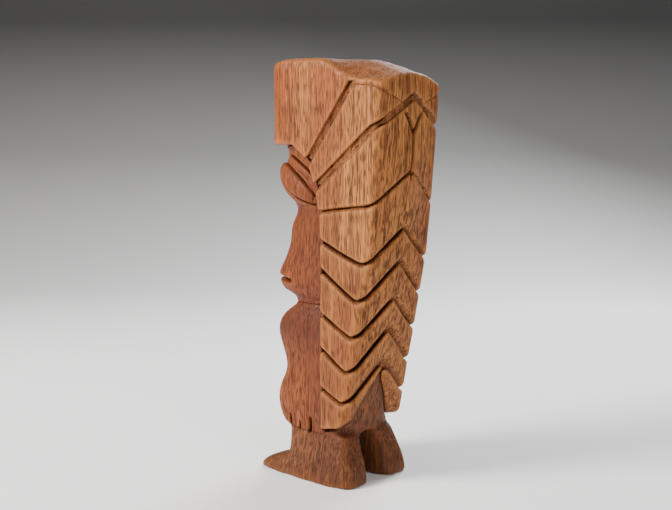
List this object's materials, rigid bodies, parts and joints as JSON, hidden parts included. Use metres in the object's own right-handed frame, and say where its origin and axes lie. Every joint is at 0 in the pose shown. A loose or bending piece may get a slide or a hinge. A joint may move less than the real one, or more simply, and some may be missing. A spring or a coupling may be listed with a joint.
{
  "type": "carved tiki figure",
  "caption": "Standing carved wooden tiki figure, a decorative sculpture with a tall crown, a tapering cape of chevron-cut plume rows down its back, short legs and broad flat feet",
  "frame": {"origin": "centre of the bounding box in plan, on the ground that the two soles stand on", "axes": "the figure faces -Y, its left side is +X, its height is +Z"},
  "size_m": [0.076, 0.124, 0.305],
  "materials": {
    "cape_wood": "satin oiled, open pores",
    "crown_wood": "satin oiled, open pores",
    "body_wood": "satin oiled, reddish",
    "foot_wood": "satin oiled, dark reddish"
  },
  "bodies": {
    "root": {"crown": "crown_wood", "crest_left": "cape_wood", "crest_right": "cape_wood", "mantle_left": "cape_wood", "mantle_right": "cape_wood", "row_1": "cape_wood", "row_2": "cape_wood", "row_3": "cape_wood", "row_4": "cape_wood", "row_5": "cape_wood", "row_6": "cape_wood", "face": "body_wood", "eye_left": "body_wood", "eye_right": "body_wood", "nose": "body_wood", "mouth": "body_wood", "torso": "body_wood", "arm_left": "body_wood", "arm_right": "body_wood", "hips": "body_wood", "leg_left": "foot_wood", "leg_right": "foot_wood", "foot_left": "foot_wood", "foot_right": "foot_wood"}
  },
  "joints": []
}
